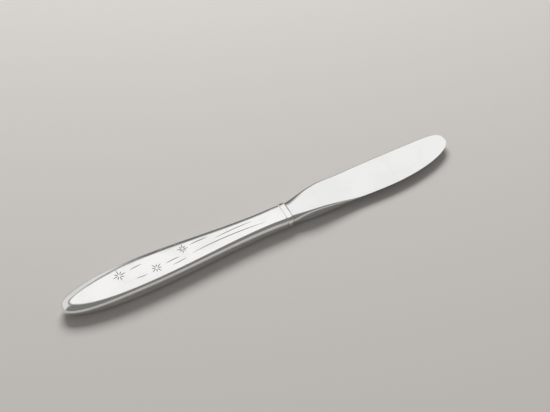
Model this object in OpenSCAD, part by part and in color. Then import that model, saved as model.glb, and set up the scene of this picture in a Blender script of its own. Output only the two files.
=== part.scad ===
// Hollow-handle table knife, lying flat on the back of its handle.
// +X runs from the end of the handle to the tip of the blade, +Y towards the
// back of the blade and +Z up. The origin lies under the middle of the outline,
// on the surface that the knife rests on.

/* [Handle] */
// Length of the two handle shells, from the end to the collar
handle_length = 117.8; // [108:0.2:135]
// Width of the handle at its widest point
handle_width = 18.6; // [17:0.2:22]
// Distance from the end of the handle to its widest point
widest_at = 38; // [30:1:46]
// Width of the handle at its narrow waist
waist_width = 12.8; // [11.6:0.2:15]
// Distance from the end of the handle to its waist
waist_at = 106; // [85:1:107]
// Width of the handle at its mouth, against the collar
mouth_width = 13.2; // [12.4:0.2:15]
// Thickness of the handle, from its face to its back
handle_thickness = 9; // [8.7:0.1:11]
// Thickness of the handle at its mouth
mouth_thickness = 8.6; // [8:0.1:8.9]
// Length over which the handle thins towards its mouth
mouth_run = 8; // [4:1:12]
// Sheet thickness of the shells
wall = 0.9; // [0.6:0.1:1.1]

/* [Handle face] */
// Distance from the end of the handle to the point of the flat face
face_start = 7; // [5:0.5:9]
// Width of the rounded side beside the flat face, seen from above
side_width = 4.4; // [3.6:0.1:5.4]
// The same at the mouth
mouth_side_width = 3.9; // [3:0.1:4.6]

/* [Collar] */
// Length of the collar along the knife
collar_length = 3.2; // [2:0.1:4.5]
// Width of the collar across its swell
collar_width = 13.9; // [13.4:0.1:15]
// Thickness of the collar across its swell
collar_thickness = 8.9; // [8.7:0.1:9]
// Depth of the groove on either side of the collar
groove_depth = 0.15; // [0.1:0.05:0.35]
// Length of the rounded lip where the shells end at the groove
lip_length = 0.5; // [0.3:0.1:1.2]
// Length of the collar's spigot inside the shells
spigot_length = 2.5; // [1.5:0.1:4]
// Wall of the spigot
spigot_wall = 0.8; // [0.5:0.1:1]

/* [Blade] */
// Length of the blade and its bolster, from the collar to the tip
blade_length = 104; // [92:1:120]
// Height of the blade's back above the knife's centre line
back_height = 12.3; // [11.5:0.1:14]
// Depth of the cutting edge below the knife's centre line
edge_depth = 8.7; // [7.4:0.1:10]
// Height of the rounded tip above the centre line
tip_height = 6; // [3:0.2:7.5]
// Thickness of the blade at its back, past the bolster
back_thickness = 2.2; // [1.6:0.1:2.8]
// Thickness of the blade at its cutting edge
edge_thickness = 0.5; // [0.3:0.05:0.8]
// Distance from the collar to the highest point of the back
crest_at = 75; // [55:1:80]
// Length of the curved belly of the edge, up to the tip
belly_length = 47; // [36:1:54]
// Length of the rounded corner where the back meets the tip
tip_corner_length = 15.5; // [9:0.5:20]
// Length over which the faces round off at the tip
tip_round = 5; // [3:0.5:9]

/* [Bolster] */
// Width of the bolster where it sits on the collar
bolster_width = 12.9; // [11:0.1:13.4]
// Thickness of the bolster there
bolster_thickness = 8.4; // [7.4:0.1:8.8]
// Length over which the bolster thins to the blade
bolster_run = 43; // [34:1:46]
// Length over which the bolster's lower side turns from round to square
square_run = 16; // [10:1:30]
// Length over which the bolster thins along the blade's back
back_run = 36; // [26:1:44]
// Length over which the back rises from the bolster to the blade
rise_run = 29; // [22:1:38]
// Height of the blade's back at the end of that rise
rise_height = 10.7; // [8.4:0.1:11.4]

/* [Tang] */
// Length of the tang inside the handle
tang_length = 58; // [40:1:75]
// Width of the tang at the bolster
tang_width = 7; // [5:0.2:8]
// Width of the tang at its end
tang_end_width = 4.6; // [3:0.2:6]
// Thickness of the tang
tang_thickness = 3; // [2:0.1:3.4]

/* [Hidden] */

// Cuts run past the faces that they open by this much
overrun = 1;
// Length of the tang's root, which is one with the bolster
tang_root = 2;
// Flat left where a rounded end comes to its point
blunt = 0.06;
// Half width of the flat face at its point
face_point = 0.25;

// Fullness of the rounded outlines: 2 is an ellipse, more is fuller
end_power = 2.5;
face_power = 1.7;
lip_power = 2;
swell_power = 3;
belly_power = 1.95;
tip_corner_power = 3;
tip_round_power = 2;
// How late the bolster starts to thin: 1 is an even step
late_power = 1.5;
// Fullness of the cross sections, rounder at the end of the handle and at its mouth
end_side_power = 2.4;
side_power = 3.8;
mouth_power = 2.6;
bolster_power = 2.4;
blade_power = 8;
// Share of the thickness by which the side slopes away from the flat face
end_bevel_share = 0.22;
body_bevel_share = 0.06;
// Share of the side's width over which the crease at the flat face is rounded
crease_share = 0.06;
// Share of the wall by which the inside of the flat face is narrower
inner_face_share = 0.35;
// Share of the blade's back thickness that is left towards the tip
tip_thickness_share = 0.7;
// Share of the tang's end width that is left flat between its chamfers
tang_point_share = 0.5;

// Steps of the lofts along the knife and round a quarter of a section
end_steps = 12;
body_steps = 20;
lip_steps = 3;
collar_steps = 6;
handle_quarter = 8;
neck_steps = 16;
middle_steps = 4;
tip_steps = 14;
blade_quarter = 6;

half_thickness = handle_thickness / 2;
seat = handle_length + collar_length;
overall_length = seat + blade_length;
spigot_start = handle_length - spigot_length;
far_side = max(back_height, handle_width / 2);
near_side = max(edge_depth, handle_width / 2);

// Smooth step from 0 to 1
function ease(t) = let (u = min(1, max(0, t))) u * u * (3 - 2 * u);

// Smooth step that starts late, as the bolster keeps its thickness at first
function late(t) = ease(pow(max(0, t), late_power));

// Rounded rise from 0 to 1, level at the top
function rounded(t, power) = let (u = min(1, max(0, t))) pow(1 - pow(1 - u, power), 1 / power);

function blend(a, b, t) = a + (b - a) * t;

// One coordinate of a rounded outline, in all four quadrants
function curved(v, power) = sign(v) * pow(abs(v), 2 / power);

// Half width of the handle without its rounded end
function body_half(s) = s < waist_at
    ? blend(handle_width, waist_width, ease((s - widest_at) / (waist_at - widest_at))) / 2
    : blend(waist_width, mouth_width, ease((s - waist_at) / (handle_length - waist_at))) / 2;

function body_high(s) =
    blend(handle_thickness, mouth_thickness, ease((s - handle_length + mouth_run) / mouth_run)) / 2;

// A value that changes from the end to the widest place and on to the mouth
function along(s, at_end, at_widest, at_mouth) = s < widest_at
    ? blend(at_end, at_widest, ease(s / widest_at))
    : blend(at_widest, at_mouth, ease((s - widest_at) / (handle_length - widest_at)));

// Upper half of a handle section, from the far seam over the face to the near
// seam, for a surface that lies inset below the outside of the handle. Each
// point lies on an outline between that of the handle, at share 1, and that of
// the flat face, at share 0, so the side runs evenly round the end. It slopes
// away from a crease at the flat face before it rounds down to the seam.
function handle_arc(s, inset) =
    let (
        from_end = s - inset + blunt,
        power = along(s, end_side_power, side_power, mouth_power),
        bevel = along(s, end_bevel_share, body_bevel_share, body_bevel_share),
        side = along(s, side_width, side_width, mouth_side_width),
        wide = body_half(s) - inset,
        flat = body_half(s) - side - inset * inner_face_share,
        high = body_high(s) - inset,
        top = acos(pow(max(0, 1 - from_end / face_start), power / 2)),
        quarter = [for (i = [0 : handle_quarter])
            let (
                a = top * i / handle_quarter,
                share = pow(cos(a), 2 / power),
                nose = face_start * (1 - share),
                fullness = blend(face_power, end_power, share),
                outline = rounded((from_end - nose) / (widest_at - nose), fullness),
                slope = bevel * (norm([share, crease_share]) - crease_share)
            )
            [max(face_point, outline * blend(flat, wide, share)),
                high * (1 - slope) * pow(sin(a), 2 / power)]]
    )
    concat(quarter, [for (i = [handle_quarter : -1 : 0]) [-quarter[i][0], quarter[i][1]]]);

// The whole section: the arc and its mirror image below the seam
function whole(arc) = concat(arc, [for (i = [len(arc) - 2 : -1 : 1]) [arc[i][0], -arc[i][1]]]);

// An arc drawn out or in to a half width and a height
function sized(arc, wide, high) =
    let (top = max([for (p = arc) p[1]]))
    [for (p = arc) [p[0] * wide / arc[0][0], p[1] * high / top]];

function at_station(x, arc) = [for (p = arc) [x, p[0], p[1]]];

// Stations along the handle, dense at the rounded end
function handle_stations(start) = concat(
    [for (i = [0 : end_steps - 1]) blend(start, widest_at, 1 - cos(90 * i / end_steps))],
    [for (i = [0 : body_steps]) blend(widest_at, spigot_start, i / body_steps)]
);

mouth_outer = handle_arc(handle_length, 0);
mouth_inner = handle_arc(handle_length, wall);
passage = sized(mouth_inner,
    mouth_width / 2 - wall - spigot_wall,
    mouth_thickness / 2 - wall - spigot_wall);

// Rings of the shells' rounded lip, which drops into the groove
function lip_ring(t) =
    let (
        s = handle_length - lip_length * (1 - t),
        drop = groove_depth * (1 - rounded(1 - t, lip_power))
    )
    at_station(s, sized(handle_arc(s, 0), body_half(s) - drop, body_high(s) - drop));

function collar_ring(t) =
    let (swell = rounded(1 - abs(2 * t - 1), swell_power))
    at_station(handle_length + collar_length * t,
        whole(sized(mouth_outer,
            blend(mouth_width / 2 - groove_depth, collar_width / 2, swell),
            blend(mouth_thickness / 2 - groove_depth, collar_thickness / 2, swell))));

// Stations along the blade, dense in the bolster and at the rounded tip
function blade_stations() = concat(
    [for (i = [0 : neck_steps]) seat + bolster_run * i / neck_steps],
    [for (i = [1 : middle_steps])
        blend(seat + bolster_run, overall_length - belly_length, i / middle_steps)],
    [for (i = [1 : tip_steps]) overall_length - belly_length * (1 - sin(90 * i / tip_steps))]
);

function back_at(s) =
    let (
        straight = blend(bolster_width / 2, rise_height, ease((s - seat) / rise_run))
            + (back_height - rise_height) * ease((s - seat) / crest_at),
        corner = rounded((overall_length + blunt - s) / tip_corner_length, tip_corner_power)
    )
    blend(tip_height, straight, corner);

function edge_at(s) =
    let (
        deepening = ease((s - seat) / (blade_length - belly_length)),
        straight = -blend(bolster_width / 2, edge_depth, deepening),
        belly = rounded((overall_length + blunt - s) / belly_length, belly_power)
    )
    blend(tip_height, straight, belly);

// A blade section is a wedge with rounded corners, thick at the back, and an
// oval in the bolster
function blade_ring(s) =
    let (
        back = back_at(s),
        edge = edge_at(s),
        tip = rounded((overall_length + blunt - s) / tip_round, tip_round_power),
        taper = blend(1, tip_thickness_share, ease((s - seat - back_run) / (blade_length - back_run))),
        back_thinning = late((s - seat) / back_run),
        edge_thinning = late((s - seat) / bolster_run),
        back_high = blend(bolster_thickness, back_thickness, back_thinning) / 2 * taper * tip,
        edge_high = blend(bolster_thickness, edge_thickness, edge_thinning) / 2 * tip,
        back_power = blend(bolster_power, blade_power, ease((s - seat) / back_run)),
        edge_power = blend(bolster_power, blade_power, ease((s - seat) / square_run))
    )
    [for (i = [0 : 4 * blade_quarter - 1])
        let (
            a = 90 * i / blade_quarter,
            power = cos(a) > 0 ? back_power : edge_power,
            across = curved(cos(a), power)
        )
        [s, blend(edge, back, (1 + across) / 2),
            blend(edge_high, back_high, (1 + across) / 2) * curved(sin(a), power)]];

// Closed surface through rings that all have the same number of points
module skin(rings) {
    count = len(rings[0]);
    last = len(rings) - 1;
    sides = [for (i = [0 : last - 1], j = [0 : count - 1])
        let (a = i * count + j, b = i * count + (j + 1) % count)
        each [[b, a, b + count], [b + count, a, a + count]]];
    start_cap = [for (j = [0 : count - 1]) j];
    end_cap = [for (j = [count - 1 : -1 : 0]) last * count + j];
    polyhedron(
        points = [for (ring = rings) each ring],
        faces = concat(sides, [start_cap, end_cap])
    );
}

// Puts the knife's end, centre line and seam where the frame has them
module placed() {
    translate([-overall_length / 2, (near_side - far_side) / 2, half_thickness]) children();
}

// The space inside the two shells
module handle_cavity(end) {
    skin(concat(
        [for (s = handle_stations(wall)) at_station(s, whole(handle_arc(s, wall)))],
        [at_station(handle_length, whole(mouth_inner)), at_station(end, whole(mouth_inner))]
    ));
}

// The half of the handle above the seam
module half_shell() {
    difference() {
        skin(concat(
            [for (s = handle_stations(0)) at_station(s, handle_arc(s, 0))],
            [for (i = [0 : lip_steps]) lip_ring(i / lip_steps)]
        ));
        handle_cavity(handle_length + overrun);
    }
}

// The way through the collar, for the tang and its filling
module collar_passage(start, end) {
    skin([for (s = [start, end]) at_station(s, whole(passage))]);
}

module spigot() {
    skin([at_station(spigot_start, whole(handle_arc(spigot_start, wall))),
        at_station(handle_length, whole(mouth_inner))]);
}

module tang() {
    linear_extrude(height = tang_thickness, center = true)
        polygon([
            [seat + tang_root, tang_width / 2],
            [seat - tang_length + tang_end_width / 2, tang_end_width / 2],
            [seat - tang_length, tang_end_width / 2 * tang_point_share],
            [seat - tang_length, -tang_end_width / 2 * tang_point_share],
            [seat - tang_length + tang_end_width / 2, -tang_end_width / 2],
            [seat + tang_root, -tang_width / 2]
        ]);
}

module handle_face_shell() {
    color("whitesmoke") placed() half_shell();
}

module handle_back_shell() {
    color("gainsboro") placed() mirror([0, 0, 1]) half_shell();
}

module collar() {
    color("silver") placed() difference() {
        union() {
            skin([for (i = [0 : collar_steps]) collar_ring(i / collar_steps)]);
            spigot();
        }
        collar_passage(spigot_start - overrun, seat + overrun);
    }
}

module blade() {
    color("lightgray") placed() {
        skin([for (s = blade_stations()) blade_ring(s)]);
        tang();
    }
}

module tang_cement() {
    color("darkgray") placed() difference() {
        union() {
            skin([for (s = handle_stations(wall)) at_station(s, whole(handle_arc(s, wall)))]);
            collar_passage(spigot_start - overrun, seat);
        }
        tang();
    }
}

handle_face_shell();
handle_back_shell();
collar();
blade();
tang_cement();
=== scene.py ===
import math

import bmesh
import bpy
from mathutils import Matrix, Vector


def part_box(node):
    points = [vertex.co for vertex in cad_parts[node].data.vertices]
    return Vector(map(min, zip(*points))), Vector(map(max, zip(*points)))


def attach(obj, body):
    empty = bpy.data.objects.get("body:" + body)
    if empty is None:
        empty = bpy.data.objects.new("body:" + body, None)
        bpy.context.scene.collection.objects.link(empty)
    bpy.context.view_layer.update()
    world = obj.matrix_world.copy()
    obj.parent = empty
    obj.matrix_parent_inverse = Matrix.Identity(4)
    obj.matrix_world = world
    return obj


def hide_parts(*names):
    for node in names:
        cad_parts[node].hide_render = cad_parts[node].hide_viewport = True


mm = 0.001
weld = 0.0003 * mm        # points closer than this are one point
sharpAngle = math.radians(50)        # edges that turn further than this stay sharp

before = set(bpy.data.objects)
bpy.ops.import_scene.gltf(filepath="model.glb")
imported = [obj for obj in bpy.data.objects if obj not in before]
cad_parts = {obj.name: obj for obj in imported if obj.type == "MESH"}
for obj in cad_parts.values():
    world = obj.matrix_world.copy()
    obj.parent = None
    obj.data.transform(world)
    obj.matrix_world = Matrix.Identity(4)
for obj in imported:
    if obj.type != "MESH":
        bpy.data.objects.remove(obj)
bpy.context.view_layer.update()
shellLow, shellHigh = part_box("handle_face_shell")
collarLow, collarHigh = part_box("collar")
bladeLow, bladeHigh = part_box("blade")
knifeEnd = shellLow.x
centreLine = (shellLow.y + shellHigh.y) / 2
seamHeight = shellLow.z
print("frame loaded")


# Curves that the pieces share

def ease(t):
    t = min(1, max(0, t))
    return t * t * (3 - 2 * t)


def rise(t, power):        # steep at 0 and level at 1, a quarter of a circle at power 2
    t = min(1, max(0, t))
    return (1 - (1 - t) ** power) ** (1 / power)


def blend(a, b, t):
    return a + (b - a) * t


def roundCorner(t, power):        # a quarter of a rounded outline, t from 0 at its side to 1 at its top
    across, up = math.cos(t * math.pi / 2), math.sin(t * math.pi / 2)
    reach = (abs(across) ** power + abs(up) ** power) ** (-1 / power)
    return across * reach, up * reach


def evenSteps(start, end, count):
    return [blend(start, end, i / count) for i in range(count + 1)]


def onKnife(s, across, up):        # s from the handle's end, across from the centre line, up from the seam
    return Vector((knifeEnd + s, centreLine + across, seamHeight + up))


# Mesh helpers

def loft(bm, stations, columns, pointAt):        # a flat grid is wrapped round the form that pointAt gives
    rows = len(stations) - 1
    grid = bmesh.ops.create_grid(bm, x_segments=rows, y_segments=columns, size=0.5)
    for vert in grid["verts"]:
        row = round((vert.co.x + 0.5) * rows)
        column = round((vert.co.y + 0.5) * columns)
        vert.co = pointAt(stations[row], column)
    bmesh.ops.remove_doubles(bm, verts=bm.verts, dist=weld)


def closeEnds(bm):
    rim = [edge for edge in bm.edges if edge.is_boundary]
    if rim:
        bmesh.ops.holes_fill(bm, edges=rim, sides=0)


def smoothFaces(bm):
    bmesh.ops.recalc_face_normals(bm, faces=bm.faces)
    for face in bm.faces:
        face.smooth = True
    for edge in bm.edges:
        edge.smooth = edge.calc_face_angle(0) < sharpAngle


def makePiece(bm, name, node, material):
    mesh = bpy.data.meshes.new(name)
    bm.to_mesh(mesh)
    bm.free()
    mesh.materials.append(material)
    piece = bpy.data.objects.new(name, mesh)
    bpy.context.scene.collection.objects.link(piece)
    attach(piece, "root")
    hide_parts(node)
    print(name, len(mesh.polygons), "faces")


# Materials

class Wire:        # one output of a node, to write shader maths with
    def __init__(self, tree, socket=None):
        self.tree = tree
        self.socket = socket

    def add(self, kind, output=0, settings=None, values=None):
        node = self.tree.nodes.new(kind)
        for name, value in (settings or {}).items():
            setattr(node, name, value)
        for place, value in (values or {}).items():
            if isinstance(value, Wire):
                self.tree.links.new(value.socket, node.inputs[place])
            else:
                node.inputs[place].default_value = value
        return Wire(self.tree, node.outputs[output])

    def maths(self, operation, first, second=0.0):
        return self.add("ShaderNodeMath", settings={"operation": operation}, values={0: first, 1: second})

    def __add__(self, other):
        return self.maths("ADD", self, other)

    def __radd__(self, other):
        return self.maths("ADD", other, self)

    def __sub__(self, other):
        return self.maths("SUBTRACT", self, other)

    def __rsub__(self, other):
        return self.maths("SUBTRACT", other, self)

    def __mul__(self, other):
        return self.maths("MULTIPLY", self, other)

    def __rmul__(self, other):
        return self.maths("MULTIPLY", other, self)

    def __abs__(self):
        return self.maths("ABSOLUTE", self)


def mixColour(wire, factor, first, second):        # 6, 7 and output 2 are the node's colour sockets
    return wire.add("ShaderNodeMix", output=2, settings={"data_type": "RGBA"},
                    values={0: factor, 6: first, 7: second})


def noise(wire, place, size, detail=2.0):
    return wire.add("ShaderNodeTexNoise", values={"Vector": place, "Scale": 1 / size, "Detail": detail})


def streaks(wire, place, turn, length, width):        # noise drawn out along one direction of the surface
    rotation = (0, 0, math.radians(turn))
    scale = (1 / length, 1 / width, 1 / width)
    turned = wire.add("ShaderNodeMapping", values={"Vector": place, "Rotation": rotation})
    drawn = wire.add("ShaderNodeMapping", values={"Vector": turned, "Scale": scale})
    return noise(wire, drawn, 1)


def between(wire, value, start, end):        # 0 below start, 1 above end
    return wire.add("ShaderNodeMapRange", settings={"interpolation_type": "SMOOTHSTEP"},
                    values={"Value": value, "From Min": start, "From Max": end})


def hairlines(wire, place, turn, length, width, fineness):        # thin lines amid drawn-out noise
    away = abs(streaks(wire, place, turn, length, width) - 0.5)
    return 1 - between(wire, away, 0, fineness)


def newSurface(name):
    material = bpy.data.materials.new(name)
    material.use_nodes = True
    shader = material.node_tree.nodes["Principled BSDF"]
    wire = Wire(material.node_tree)
    place = wire.add("ShaderNodeTexCoord", output="Object")
    return material, shader, wire, place


def drive(wire, shader, **sockets):
    for name, value in sockets.items():
        wire.tree.links.new(value.socket, shader.inputs[name.replace("_", " ")])


def raiseBy(wire, shader, height, depth, strength):        # height from 0 to 1 is up to depth in metres
    bump = wire.add("ShaderNodeBump", output="Normal", values={
        "Strength": strength, "Distance": depth, "Height": height})
    drive(wire, shader, Normal=bump)


oldPolish = {        # left in grooves and seams
    "colour": (0.070, 0.066, 0.060, 1),
    "roughness": 0.4,
}


def coverSteel(wire, shader, clean, rough, height, bump):        # dark where the mesh says groove
    groove = wire.add("ShaderNodeAttribute", output="Fac", settings={"attribute_name": "groove"})
    drive(wire, shader, Base_Color=mixColour(wire, groove, clean, oldPolish["colour"]))
    drive(wire, shader, Roughness=rough + groove * oldPolish["roughness"])
    raiseBy(wire, shader, height, *bump)
    shader.inputs["Metallic"].default_value = 1


polish = {
    "colour": (0.900, 0.893, 0.872, 1),
    "roughness": 0.07,
    "smudgeColour": (0.850, 0.846, 0.830, 1),
    "smudgeShare": 0.6,
    "smudgeRoughness": 0.07,
    "smudgeSize": 14 * mm,
    "smudgeDetail": 3.0,
    "smudgeEdge": (0.42, 0.62),
    "grain": (4, 30 * mm, 0.25 * mm),        # turn in degrees, length, width
    "grainRoughness": 0.03,
    "grainHeight": 0.5,
    "scratches": [        # turn in degrees, length, width, fineness
        (11, 22 * mm, 1.4 * mm, 0.012),
        (-19, 15 * mm, 1.9 * mm, 0.010),
    ],
    "scratchRoughness": 0.12,
    "bump": (0.0006 * mm, 0.5),        # depth and strength
}


def polishedSteel(name):
    material, shader, wire, place = newSurface(name)
    smudge = noise(wire, place, polish["smudgeSize"], polish["smudgeDetail"])
    smudge = between(wire, smudge, *polish["smudgeEdge"])
    grain = streaks(wire, place, *polish["grain"])
    first, second = [hairlines(wire, place, *scratch) for scratch in polish["scratches"]]
    scratch = first + second
    clean = mixColour(wire, smudge * polish["smudgeShare"], polish["colour"], polish["smudgeColour"])
    rough = polish["roughness"] + smudge * polish["smudgeRoughness"] + grain * polish["grainRoughness"]
    rough = rough + scratch * polish["scratchRoughness"]
    height = grain * polish["grainHeight"] - scratch
    coverSteel(wire, shader, clean, rough, height, polish["bump"])
    return material


satin = {
    "colour": (0.860, 0.857, 0.842, 1),
    "roughness": 0.09,
    "worn": (0.810, 0.812, 0.805, 1),
    "wornShare": 0.6,
    "wornEdge": (0.35, 0.75),
    "bandShare": 0.6,        # the rest of the worn shade comes from the smudges
    "lines": (90, 26 * mm, 0.12 * mm),        # turn in degrees, length, width
    "bands": (90, 26 * mm, 1.1 * mm),
    "lineRoughness": 0.07,
    "bump": (0.0012 * mm, 0.5),        # depth and strength
    "scratch": (3, 28 * mm, 1.6 * mm, 0.010),        # turn in degrees, length, width, fineness
    "scratchRoughness": 0.08,
    "scratchHeight": 0.6,
    "smudgeSize": 22 * mm,
    "smudgeDetail": 3.0,
    "smudgeEdge": (0.40, 0.64),
    "smudgeRoughness": 0.04,
}


def satinSteel(name):
    material, shader, wire, place = newSurface(name)
    smudge = noise(wire, place, satin["smudgeSize"], satin["smudgeDetail"])
    smudge = between(wire, smudge, *satin["smudgeEdge"])
    lines = streaks(wire, place, *satin["lines"])
    bands = streaks(wire, place, *satin["bands"])
    scratch = hairlines(wire, place, *satin["scratch"])
    shade = bands * satin["bandShare"] + smudge * (1 - satin["bandShare"])
    shade = between(wire, shade, *satin["wornEdge"])
    clean = mixColour(wire, shade * satin["wornShare"], satin["colour"], satin["worn"])
    rough = satin["roughness"] + lines * satin["lineRoughness"] + smudge * satin["smudgeRoughness"]
    rough = rough + scratch * satin["scratchRoughness"]
    height = lines - scratch * satin["scratchHeight"]
    coverSteel(wire, shader, clean, rough, height, satin["bump"])
    return material


grout = {
    "dark": (0.30, 0.27, 0.23, 1),
    "pale": (0.46, 0.42, 0.36, 1),
    "paleEdge": (0.3, 0.7),
    "gritSize": 0.5 * mm,
    "gritDetail": 4.0,
    "gritShare": 0.6,        # the rest of the shade is in broad clouds
    "bump": (0.05 * mm, 0.6),        # depth and strength
    "cloudSize": 6 * mm,
    "roughness": 0.75,
    "gritRoughness": 0.2,
}


def castCement(name):
    material, shader, wire, place = newSurface(name)
    grit = noise(wire, place, grout["gritSize"], grout["gritDetail"])
    cloud = noise(wire, place, grout["cloudSize"])
    shade = grit * grout["gritShare"] + cloud * (1 - grout["gritShare"])
    shade = between(wire, shade, *grout["paleEdge"])
    drive(wire, shader, Base_Color=mixColour(wire, shade, grout["dark"], grout["pale"]))
    drive(wire, shader, Roughness=grout["roughness"] + grit * grout["gritRoughness"])
    raiseBy(wire, shader, grit, *grout["bump"])
    return material


handleSteel = polishedSteel("handlePolish")
collarSteel = polishedSteel("collarPolish")
bladeSteel = satinSteel("bladeSatin")
print("materials made")


# Handle

handle = {
    "length": shellHigh.x - shellLow.x,
    "width": shellHigh.y - shellLow.y,
    "thickness": 2 * (shellHigh.z - shellLow.z),
    "widestAt": 38 * mm,
    "waistAt": 106 * mm,
    "waistWidth": 12.8 * mm,
    "mouthWidth": 13.2 * mm,
    "mouthThickness": 8.6 * mm,
    "mouthRun": 8 * mm,
    "wall": 0.9 * mm,
    "faceStart": 7 * mm,        # where the flat face comes to its point
    # the rounded side beside the flat, at the end, the widest place and the mouth
    "sideWidths": (4.4 * mm, 4.4 * mm, 3.9 * mm),
    "sidePowers": (2.4, 3.8, 2.6),
    "bevels": (0.22, 0.06, 0.06),        # slope of the side from the crease, as a share of its height
    "creaseRound": 0.06,        # how soft the crease is, as a share of the side's width
    "facePower": 1.7,
    "endPower": 2.5,
    "innerFlat": 0.35,        # how much narrower the flat is inside, as a share of the wall
    "grooveDepth": 0.15 * mm,
    "lipLength": 0.5 * mm,        # where the mouth rounds down into the groove
    "blunt": 0.06 * mm,        # what the outline gains in the first millimetre from an end
    "seamDepth": 0.05 * mm,        # hairline between the two shells
    "heightSteps": 24,        # halvings in the search for a height
    "noseStations": 44,
    "bodyStations": 84,
    "lipStations": 8,
    "sideColumns": 22,
    "faceColumns": 24,
    "innerSideColumns": 10,
    "innerFaceColumns": 10,
}


def bodyHalf(s):
    if s < handle["waistAt"]:
        part = ease((s - handle["widestAt"]) / (handle["waistAt"] - handle["widestAt"]))
        return blend(handle["width"], handle["waistWidth"], part) / 2
    part = ease((s - handle["waistAt"]) / (handle["length"] - handle["waistAt"]))
    return blend(handle["waistWidth"], handle["mouthWidth"], part) / 2


def bodyHigh(s):
    part = ease((s - handle["length"] + handle["mouthRun"]) / handle["mouthRun"])
    return blend(handle["thickness"], handle["mouthThickness"], part) / 2


def alongHandle(s, values):        # values are those at the end, the widest place and the mouth
    if s < handle["widestAt"]:
        return blend(values[0], values[1], ease(s / handle["widestAt"]))
    part = (s - handle["widestAt"]) / (handle["length"] - handle["widestAt"])
    return blend(values[1], values[2], ease(part))


def fromHandleEnd(s, inset):
    fromEnd = max(0, s - inset)
    return fromEnd + handle["blunt"] * min(1, fromEnd / mm)


def sideAt(s, inset, share):        # share is 0 at the outline of the flat, 1 at that of the handle
    nose = handle["faceStart"] * (1 - share)
    power = blend(handle["facePower"], handle["endPower"], share)
    outline = rise((fromHandleEnd(s, inset) - nose) / (handle["widestAt"] - nose), power)
    wide = bodyHalf(s) - inset
    flat = bodyHalf(s) - alongHandle(s, handle["sideWidths"]) - inset * handle["innerFlat"]
    high = bodyHigh(s) - inset
    if s > handle["length"] - handle["lipLength"] and inset == 0:
        drop = handle["grooveDepth"] * (1 - rise((handle["length"] - s) / handle["lipLength"], 2))
        wide, flat, high = wide - drop, flat - drop, high - drop
    power = alongHandle(s, handle["sidePowers"])
    crease = handle["creaseRound"]
    high *= 1 - alongHandle(s, handle["bevels"]) * (math.hypot(share, crease) - crease)
    return outline * blend(flat, wide, share), high * (1 - min(1, share) ** power) ** (1 / power)


def sidePoint(s, inset, turn):        # turn goes from 0 at the seam to 1 at the edge of the flat
    power = alongHandle(s, handle["sidePowers"])
    ahead = min(1, max(0, 1 - fromHandleEnd(s, inset) / handle["faceStart"]))
    angle = math.acos(ahead ** (power / 2)) * turn
    return sideAt(s, inset, math.cos(angle) ** (2 / power))


def faceHeight(s, across):        # height of the outer surface above the seam
    low, high = 0, 1
    for step in range(handle["heightSteps"]):
        middle = (low + high) / 2
        if sideAt(s, 0, middle)[0] < across:
            low = middle
        else:
            high = middle
    return sideAt(s, 0, low)[1]


def archPoint(s, inset, column, sideColumns, faceColumns):        # over the face, from seam to seam
    last = 2 * sideColumns + faceColumns
    side = 1 if 2 * column <= last else -1
    fromSeam = min(column, last - column)
    across, up = sidePoint(s, inset, min(1, fromSeam / sideColumns))
    if fromSeam > sideColumns:
        return across * (1 - 2 * (column - sideColumns) / faceColumns), up
    return side * across, up


def handleStations():
    turnAt, lipAt = handle["widestAt"], handle["length"] - handle["lipLength"]
    count = handle["noseStations"]
    nose = [turnAt * (1 - math.cos(math.pi / 2 * i / count)) for i in range(count)]
    body = evenSteps(turnAt, lipAt, handle["bodyStations"])
    lip = evenSteps(lipAt, handle["length"], handle["lipStations"])
    return nose + body + lip[1:]


outerColumns = 2 * handle["sideColumns"] + handle["faceColumns"]
innerColumns = 2 * handle["innerSideColumns"] + handle["innerFaceColumns"]
shellColumns = outerColumns + innerColumns + 2


def shellPoint(s, column):        # out over the face, round the seam, back along the inner wall
    column = column % shellColumns
    if column <= outerColumns:
        across, up = archPoint(s, 0, column, handle["sideColumns"], handle["faceColumns"])
        if column in (0, outerColumns):
            dip = min(handle["seamDepth"], abs(across) / 4)        # less at the nose, which is narrow
            across -= math.copysign(dip, across)
        return onKnife(s, across, up)
    s = blend(handle["wall"], handle["length"], s / handle["length"])
    fromSeam = outerColumns + 1 + innerColumns - column
    columns = handle["innerSideColumns"], handle["innerFaceColumns"]
    across, up = archPoint(s, handle["wall"], fromSeam, *columns)
    return onKnife(s, across, up)


def halfShell():
    bm = bmesh.new()
    loft(bm, handleStations(), shellColumns, shellPoint)
    closeEnds(bm)
    return bm


# Engraving

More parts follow.
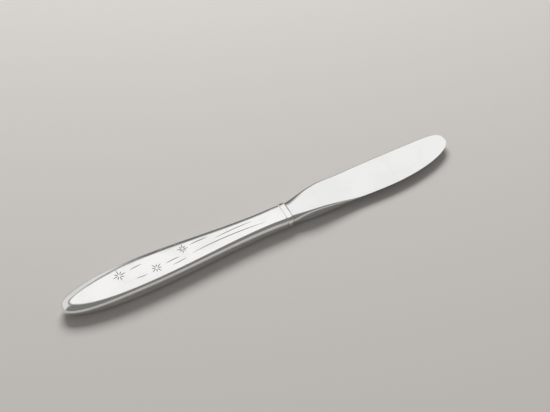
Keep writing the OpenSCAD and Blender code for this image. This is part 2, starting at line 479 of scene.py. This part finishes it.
engraving = {
    "depth": 0.13 * mm,
    "deepHalf": 0.14 * mm,        # cuts narrower than this on each side are less deep
    "darkening": 2.2,        # over 1, old polish reaches up the sides of a cut
    "sparkWidth": 0.42 * mm,
    "sparkTapers": (0.55, 1.0, 1.0, 0.8, 0.35),        # widths along a ray, from inside out
    "rays": 8,
    "rayStart": 0.24,        # share of the reach that is left clear in the middle
    "shortRay": 0.78,        # share of the reach
    "strokeWidth": 0.40 * mm,
    "strokeTaper": 0.7,        # under 1, a stroke is full for longer
    "strokeSteps": 24,
    "margin": 0.35 * mm,        # how far past a cut the face is made fine
    "fineEdge": 0.09 * mm,
    "levels": 4,
    "binSize": 1.2 * mm,
    "topShare": 0.4,        # only what is higher than this share of the thickness is cut
    "straight": 179,        # degrees from which a corner counts as none
    # place along the handle, place across it, reach of the long rays, turn in degrees
    "sparks": [
        (30, 1.6, 3.2, 8),
        (47.5, -2.6, 3.0, 30),
        (63, 2.0, 2.7, -12),
    ],
    # each stroke: start, middle and end, along and across, and its share of the full width
    "strokes": [
        ((35.5, 2.3), (38.5, 3.0), (42, 3.0), 1.0),
        ((36.5, -3.6), (39, -4.1), (42.5, -3.9), 0.8),
        ((52.5, -2.2), (56.5, -1.5), (60, -1.7), 1.0),
        ((55, -4.6), (59, -4.4), (63, -3.7), 0.8),
        ((67, 2.6), (72, 3.2), (77, 2.9), 1.0),
        ((66, -2.6), (84, -0.4), (107, -2.4), 1.0),
        ((80, 0.6), (90, 1.6), (101, 1.3), 0.9),
    ],
}


def strokePoints(start, middle, end):        # a curve from start to end, drawn towards middle
    points = []
    for t in evenSteps(0, 1, engraving["strokeSteps"]):
        shares = (1 - t) ** 2, 2 * t * (1 - t), t * t
        point = [sum(share * p[i] for share, p in zip(shares, (start, middle, end))) for i in (0, 1)]
        points.append([mm * point[0], mm * point[1]])
    return points


def sparkRays(along, across, reach, turn):        # long and short in turn, clear of the middle
    rays = []
    for i in range(engraving["rays"]):
        angle = math.radians(turn + 360 / engraving["rays"] * i)
        far = reach if i % 2 == 0 else reach * engraving["shortRay"]
        step = math.cos(angle), math.sin(angle)
        reaches = evenSteps(reach * engraving["rayStart"], far, len(engraving["sparkTapers"]) - 1)
        rays.append([[mm * (along + step[0] * r), mm * (across + step[1] * r)] for r in reaches])
    return rays


def allCuts():        # lines of points with the half width of the cut at each
    cuts = []
    for spark in engraving["sparks"]:
        for ray in sparkRays(*spark):
            cuts.append((ray, [engraving["sparkWidth"] / 2 * taper for taper in engraving["sparkTapers"]]))
    for start, middle, end, share in engraving["strokes"]:
        points = strokePoints(start, middle, end)
        tapers = [math.sin(math.pi * (i + 0.5) / len(points)) for i in range(len(points))]
        half = share * engraving["strokeWidth"] / 2
        cuts.append((points, [half * taper ** engraving["strokeTaper"] for taper in tapers]))
    return cuts


def segmentsOf(cuts):        # straight pieces of the cuts, each with its half width at both ends
    segments = []
    for points, widths in cuts:
        for i in range(len(points) - 1):
            a, b = Vector(points[i]), Vector(points[i + 1])
            segments.append((a, b, widths[i], widths[i + 1]))
    return segments


def cutAt(segments, point):        # distance to the nearest cut, and how deep the cut is there from 0 to 1
    nearest, deepest = 1.0, 0.0        # a metre off when no cut is near
    for a, b, startHalf, endHalf in segments:
        line = b - a
        t = min(1, max(0, (point - a).dot(line) / line.length_squared))
        away = (point - a - line * t).length
        half = blend(startHalf, endHalf, t)
        nearest = min(nearest, away - half)
        if away < half:
            deepest = max(deepest, (1 - away / half) * min(1, half / engraving["deepHalf"]))
    return nearest, deepest


def binned(segments, size):        # segments by the squares of the face that they come near
    bins = {}
    for segment in segments:
        a, b = segment[:2]
        firstRow, lastRow = [math.floor(pick(a.x, b.x) / size) for pick in (min, max)]
        firstColumn, lastColumn = [math.floor(pick(a.y, b.y) / size) for pick in (min, max)]
        for row in range(firstRow - 1, lastRow + 2):
            for column in range(firstColumn - 1, lastColumn + 2):
                bins.setdefault((row, column), []).append(segment)
    return bins


def widestCorner(face):
    return max(loop.calc_angle() for loop in face.loops)


def engrave(bm):
    size = engraving["binSize"]
    bins = binned(segmentsOf(allCuts()), size)

    def cutNear(co):
        point = Vector((co.x - knifeEnd, co.y - centreLine))
        here = bins.get((math.floor(point.x / size), math.floor(point.y / size)), ())
        return cutAt(here, point)

    top = seamHeight + handle["thickness"] * engraving["topShare"]
    for level in range(engraving["levels"]):
        near = []
        for edge in bm.edges:
            a, b = edge.verts
            if min(a.co.z, b.co.z) < top or edge.calc_length() < engraving["fineEdge"]:
                continue
            if cutNear((a.co + b.co) / 2)[0] < engraving["margin"] + edge.calc_length() / 2:
                near.append(edge)
        bmesh.ops.subdivide_edges(bm, edges=near, cuts=1, use_grid_fill=True)
    groove = bm.verts.layers.float.new("groove")
    for vert in bm.verts:
        if vert.co.z > top:
            away, deep = cutNear(vert.co)
            if away < engraving["margin"]:
                height = faceHeight(vert.co.x - knifeEnd, abs(vert.co.y - centreLine))
                vert.co.z = seamHeight + height - deep * engraving["depth"]
            vert[groove] = min(1, deep * engraving["darkening"])
    straight = math.radians(engraving["straight"])
    odd = [face for face in bm.faces if len(face.verts) > 3 and widestCorner(face) > straight]
    bmesh.ops.poke(bm, faces=odd)        # beside fine faces, a coarse one can have a corner amid a side


bm = halfShell()
engrave(bm)
smoothFaces(bm)
makePiece(bm, "engraved_face_shell", "handle_face_shell", handleSteel)

bm = halfShell()
bmesh.ops.scale(bm, vec=(1, 1, -1), verts=bm.verts, space=Matrix.Translation((0, 0, -seamHeight)))
smoothFaces(bm)
makePiece(bm, "plain_back_shell", "handle_back_shell", handleSteel)
print("handle made")


# Collar

collar = {
    "length": 3.2 * mm,
    "width": collarHigh.y - collarLow.y,
    "thickness": collarHigh.z - collarLow.z,
    "spigotLength": 2.5 * mm,
    "spigotWall": 0.8 * mm,
    "seamReach": 0.3 * mm,        # how far old polish shows on each side of the seam with the bolster
    "swellPower": 3,
    "swellRings": 28,
    "sideColumns": 24,
    "faceColumns": 16,
}


def collarRings():        # place, half width and half height of each ring of the closed wall
    mouth = handle["mouthWidth"] / 2, handle["mouthThickness"] / 2
    groove = [size - handle["grooveDepth"] for size in mouth]
    spigot = [size - handle["wall"] for size in mouth]
    passage = [size - collar["spigotWall"] for size in spigot]
    start, end = handle["length"], handle["length"] + collar["length"]
    rings = [(start - collar["spigotLength"], *spigot), (start, *spigot)]
    for step in evenSteps(0, 1, collar["swellRings"]):
        t = (1 - math.cos(math.pi * step)) / 2        # closer together at both ends
        swell = rise(1 - abs(2 * t - 1), collar["swellPower"])
        wide = blend(groove[0], collar["width"] / 2, swell)
        high = blend(groove[1], collar["thickness"] / 2, swell)
        rings.append((blend(start, end, t), wide, high))
    rings += [(end, *passage), (start - collar["spigotLength"], *passage)]
    return rings + rings[:1]


halfRing = 2 * collar["sideColumns"] + collar["faceColumns"]


def collarPoint(ring, column):        # the handle's mouth, stretched to the ring
    s, wide, high = ring
    column = column % (2 * halfRing)
    below = column > halfRing
    column = 2 * halfRing - column if below else column
    inset = weld        # not 0, which would round the mouth down into its groove
    across, up = archPoint(handle["length"], inset, column, collar["sideColumns"], collar["faceColumns"])
    across *= 2 * wide / handle["mouthWidth"]
    up *= 2 * high / handle["mouthThickness"]
    return onKnife(s, across, -up if below else up)


seat = handle["length"] + collar["length"]        # where the bolster sits on the collar


def darkenSeam(bm):        # old polish in the seam between collar and bolster
    groove = bm.verts.layers.float.new("groove")
    for vert in bm.verts:
        away = abs(vert.co.x - knifeEnd - seat)
        vert[groove] = math.sqrt(max(0, 1 - away / collar["seamReach"]))


bm = bmesh.new()
loft(bm, collarRings(), 2 * halfRing, collarPoint)
darkenSeam(bm)
smoothFaces(bm)
makePiece(bm, "domed_collar", "collar", collarSteel)
print("collar made")


# Blade

blade = {
    "length": bladeHigh.x - knifeEnd - seat,
    "backHeight": bladeHigh.y - centreLine,
    "edgeDepth": centreLine - bladeLow.y,
    "tipHeight": 6 * mm,
    "backThickness": 2.2 * mm,
    "edgeThickness": 0.5 * mm,
    "tipTaper": 0.7,        # share of the back's thickness that is left at the tip
    # measured from the collar
    "crestAt": 75 * mm,
    "riseRun": 29 * mm,
    "riseHeight": 10.7 * mm,
    "bolsterRun": 43 * mm,
    "backRun": 36 * mm,
    "squareRun": 18 * mm,
    "thinningPower": 1.5,        # over 1, the bolster stays thick longer
    # measured from the tip
    "bellyLength": 47 * mm,
    "bellyPower": 1.95,
    "tipCornerLength": 15.5 * mm,
    "tipCornerPower": 3,
    "tipRound": 5 * mm,
    # sizes at the collar
    "bolsterWidth": 12.9 * mm,
    "bolsterThickness": 8.4 * mm,
    # squareness of the corners, at the collar and on the blade
    "backPowers": (2.8, 8),
    "edgePowers": (2.2, 8),
    "tangWidth": 7 * mm,
    "tangEndWidth": 4.6 * mm,
    "tangThickness": 3 * mm,
    "tangPower": 12,
    "seamRound": 0.1 * mm,        # rounding of the bolster's end, across the knife and along it
    "seamRun": 0.3 * mm,
    "spineRound": 0.8 * mm,
    "tangStations": 12,
    "seamLength": 0.4 * mm,        # made finer, for the rounding
    "seamStations": 8,
    "bodyStations": 70,
    "bellyStations": 60,
    "columns": 128,
}

tangEnd = bladeLow.x - knifeEnd


def backAt(s, toTip):
    straight = blend(blade["bolsterWidth"] / 2, blade["riseHeight"], ease((s - seat) / blade["riseRun"]))
    straight += (blade["backHeight"] - blade["riseHeight"]) * ease((s - seat) / blade["crestAt"])
    corner = rise(toTip / blade["tipCornerLength"], blade["tipCornerPower"])
    return blend(blade["tipHeight"], straight, corner)


def edgeAt(s, toTip):
    deepening = ease((s - seat) / (blade["length"] - blade["bellyLength"]))
    straight = -blend(blade["bolsterWidth"] / 2, blade["edgeDepth"], deepening)
    return blend(blade["tipHeight"], straight, rise(toTip / blade["bellyLength"], blade["bellyPower"]))


def thinned(s, thickness, run):        # from the bolster's thickness down to this one
    part = max(0, (s - seat) / run) ** blade["thinningPower"]
    return blend(blade["bolsterThickness"], thickness, ease(part))


def bladePoint(station, column):        # a full turn round the section, from the back over the upper side
    kind, s = station
    turn = 4 * (column % blade["columns"]) / blade["columns"]
    corner = turn % 1 if turn % 2 < 1 else 1 - turn % 1
    towardsBack, upper = turn <= 1 or turn > 3, turn <= 2
    if kind == "tang":
        across, up = roundCorner(corner, blade["tangPower"])
        part = (seat - s) / (seat - tangEnd)
        wide = blend(blade["tangWidth"], blade["tangEndWidth"], part) / 2
        across, up = across * wide, up * blade["tangThickness"] / 2
        return onKnife(s, across if towardsBack else -across, up if upper else -up)
    toTip = seat + blade["length"] - s
    toTip += handle["blunt"] * min(1, toTip / mm)
    back, edge = backAt(s, toTip), edgeAt(s, toTip)
    tip = rise(toTip / blade["tipRound"], 2)
    part = (s - seat - blade["backRun"]) / (blade["length"] - blade["backRun"])
    taper = blend(1, blade["tipTaper"], ease(part))
    backHigh = thinned(s, blade["backThickness"], blade["backRun"]) * taper
    edgeHigh = thinned(s, blade["edgeThickness"], blade["bolsterRun"])
    powers = blade["backPowers"] if towardsBack else blade["edgePowers"]
    across, up = roundCorner(corner, blend(*powers, ease((s - seat) / blade["squareRun"])))
    across = across if towardsBack else -across
    up *= blend(edgeHigh, backHigh, (1 + across) / 2) / 2 * tip
    middle, half = (back + edge) / 2, (back - edge) / 2
    spine = min(blade["spineRound"] * ease((s - seat) / blade["backRun"]), half / 2)
    if spine > 0:
        up *= rise(half * (1 - across) / spine, 2)
    drop = blade["seamRound"] * (1 - rise((s - seat) / blade["seamRun"], 2))
    half, up = half - drop, up * (1 - 2 * drop / blade["bolsterThickness"])
    return onKnife(s, middle + half * across, up if upper else -up)


def bladeStations():
    tip = seat + blade["length"]
    seamEnd = seat + blade["seamLength"]
    count = blade["bellyStations"]
    fromTip = [blade["bellyLength"] * (1 - math.sin(math.pi / 2 * i / count)) for i in range(1, count + 1)]
    body = evenSteps(seat, seamEnd, blade["seamStations"])
    body += evenSteps(seamEnd, tip - blade["bellyLength"], blade["bodyStations"])[1:]
    body += [tip - length for length in fromTip]
    tang = evenSteps(tangEnd, seat, blade["tangStations"])
    return [("tang", s) for s in tang] + [("body", s) for s in body]


bm = bmesh.new()
loft(bm, bladeStations(), blade["columns"], bladePoint)
closeEnds(bm)
darkenSeam(bm)
smoothFaces(bm)
makePiece(bm, "ground_blade", "blade", bladeSteel)
print("blade made")

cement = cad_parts["tang_cement"]
cement.data.materials.clear()
cement.data.materials.append(castCement("cement"))
print("cement dressed")


# Floor, light and camera

studio = {
    "floorSize": 6.0,
    "floorSquares": 8,
    "floorColour": (0.60, 0.575, 0.545, 1),
    "floorRoughness": 0.9,
    "floorShine": 0.2,
    "farFloorGlow": (0.34, 0.33, 0.32, 1),        # keeps the floor pale where the key light ends
    "litMiddle": (0.15, 0.55, 0),        # middle of the floor that the key light reaches
    "litEdge": (0.7, 1.4),
    "ambient": 0.28,        # the sky's even light on the floor
    "keyPower": 14.6,
    "keyWidth": 0.8,
    "keyDepth": 0.5,
    "keyPlace": (0.28, 0.83, 0.85),
    "window": (0.15, 0.19, 0.97),        # middle of the bright part of the sky
    "windowEdge": (0.812, 0.836),
    "rightWall": (0.80, 0.45, 0.30),        # middle of the wall that is as bright
    "rightWallEdge": (0.70, 0.86),
    "corner": (0, 1, 0),        # where that wall ends
    "cornerEdge": (0.74, 0.84),
    "bright": 1.0,
    "farWall": 0.76,
    "farMiddle": (-0.25, 0.97, 0),
    "farEdge": (-0.1, 0.2),
    "cornice": 0.34,        # darker edge of the walls below the window
    "corniceEdge": (0.68, 0.76),
    "doorway": 0.16,        # dark right part of the far wall
    "doorMiddle": (1, 0, 0),
    "doorEdge": (0.04, 0.14),
    "nearWall": 0.20,
    "lowWall": 0.54,        # all walls close to the floor
    "lowWallEdge": (0.02, 0.14),
}


def seenRays(wire):        # 1 for what the camera sees, directly or in a shiny surface
    rays = [wire.add("ShaderNodeLightPath", output=name)
            for name in ("Is Camera Ray", "Is Glossy Ray", "Is Transmission Ray")]
    return wire.maths("MINIMUM", rays[0] + rays[1] + rays[2], 1.0)


def makeFloor():
    bm = bmesh.new()
    squares = studio["floorSquares"]
    bmesh.ops.create_grid(bm, x_segments=squares, y_segments=squares, size=studio["floorSize"] / 2)
    mesh = bpy.data.meshes.new("floor")
    bm.to_mesh(mesh)
    bm.free()
    material, shader, wire, place = newSurface("paleFloor")
    shader.inputs["Base Color"].default_value = studio["floorColour"]
    shader.inputs["Roughness"].default_value = studio["floorRoughness"]
    shader.inputs["Specular IOR Level"].default_value = studio["floorShine"]
    distance = wire.add("ShaderNodeVectorMath", output="Value", settings={"operation": "DISTANCE"},
                        values={0: place, 1: studio["litMiddle"]})
    glow = between(wire, distance, *studio["litEdge"]) * seenRays(wire)
    drive(wire, shader, Emission_Color=mixColour(wire, glow, (0, 0, 0, 1), studio["farFloorGlow"]))
    shader.inputs["Emission Strength"].default_value = 1
    mesh.materials.append(material)
    floor = bpy.data.objects.new("floor", mesh)
    bpy.context.scene.collection.objects.link(floor)


def towards(wire, direction, target):        # 1 in the target's direction, 0 square to it
    return wire.add("ShaderNodeVectorMath", output="Value", settings={"operation": "DOT_PRODUCT"},
                    values={0: direction, 1: Vector(target).normalized()})


def makeSky():
    world = bpy.data.worlds.new("studio")
    world.use_nodes = True
    bpy.context.scene.world = world
    wire = Wire(world.node_tree)
    direction = wire.add("ShaderNodeTexCoord", output="Generated")
    door = between(wire, towards(wire, direction, studio["doorMiddle"]), *studio["doorEdge"])
    farSide = studio["farWall"] + door * (studio["doorway"] - studio["farWall"])
    far = between(wire, towards(wire, direction, studio["farMiddle"]), *studio["farEdge"])
    wall = studio["nearWall"] + far * (farSide - studio["nearWall"])
    low = 1 - between(wire, towards(wire, direction, (0, 0, 1)), *studio["lowWallEdge"])
    wall = wall + low * (studio["lowWall"] - wall)
    overhead = towards(wire, direction, studio["window"])
    cornice = wire.maths("MINIMUM", wall, studio["cornice"])
    wall = wall + between(wire, overhead, *studio["corniceEdge"]) * (cornice - wall)
    window = between(wire, overhead, *studio["windowEdge"])
    rightWall = between(wire, towards(wire, direction, studio["rightWall"]), *studio["rightWallEdge"])
    corner = between(wire, towards(wire, direction, studio["corner"]), *studio["cornerEdge"])
    rightWall = rightWall * (1 - corner)
    lit = wire.maths("MAXIMUM", window, rightWall)
    level = wall + lit * (studio["bright"] - wall)
    background = world.node_tree.nodes["Background"]
    background.inputs["Color"].default_value = (1, 1, 1, 1)
    strength = studio["ambient"] + seenRays(wire) * (level - studio["ambient"])
    world.node_tree.links.new(strength.socket, background.inputs["Strength"])


def makeKey():
    light = bpy.data.lights.new("softKey", "AREA")
    light.energy = studio["keyPower"]
    light.shape = "RECTANGLE"
    light.size = studio["keyWidth"]
    light.size_y = studio["keyDepth"]
    key = bpy.data.objects.new("softKey", light)
    key.location = studio["keyPlace"]
    key.rotation_euler = (-Vector(studio["keyPlace"])).to_track_quat("-Z", "Y").to_euler()
    key.visible_glossy = False
    bpy.context.scene.collection.objects.link(key)


view = {
    "place": (-0.116226, -0.218696, 0.309262),
    "tilt": 40.0,
    "turn": -28.362,
    "lens": 50,
    "clipStart": 0.01,
}


def makeCamera():
    camera = bpy.data.objects.new("camera", bpy.data.cameras.new("camera"))
    camera.data.lens = view["lens"]
    camera.data.clip_start = view["clipStart"]
    camera.location = view["place"]
    camera.rotation_euler = (math.radians(view["tilt"]), 0, math.radians(view["turn"]))
    bpy.context.scene.collection.objects.link(camera)
    bpy.context.scene.camera = camera
    bpy.context.scene.view_settings.view_transform = "Standard"


makeFloor()
makeSky()
makeKey()
makeCamera()

print("scene ready")
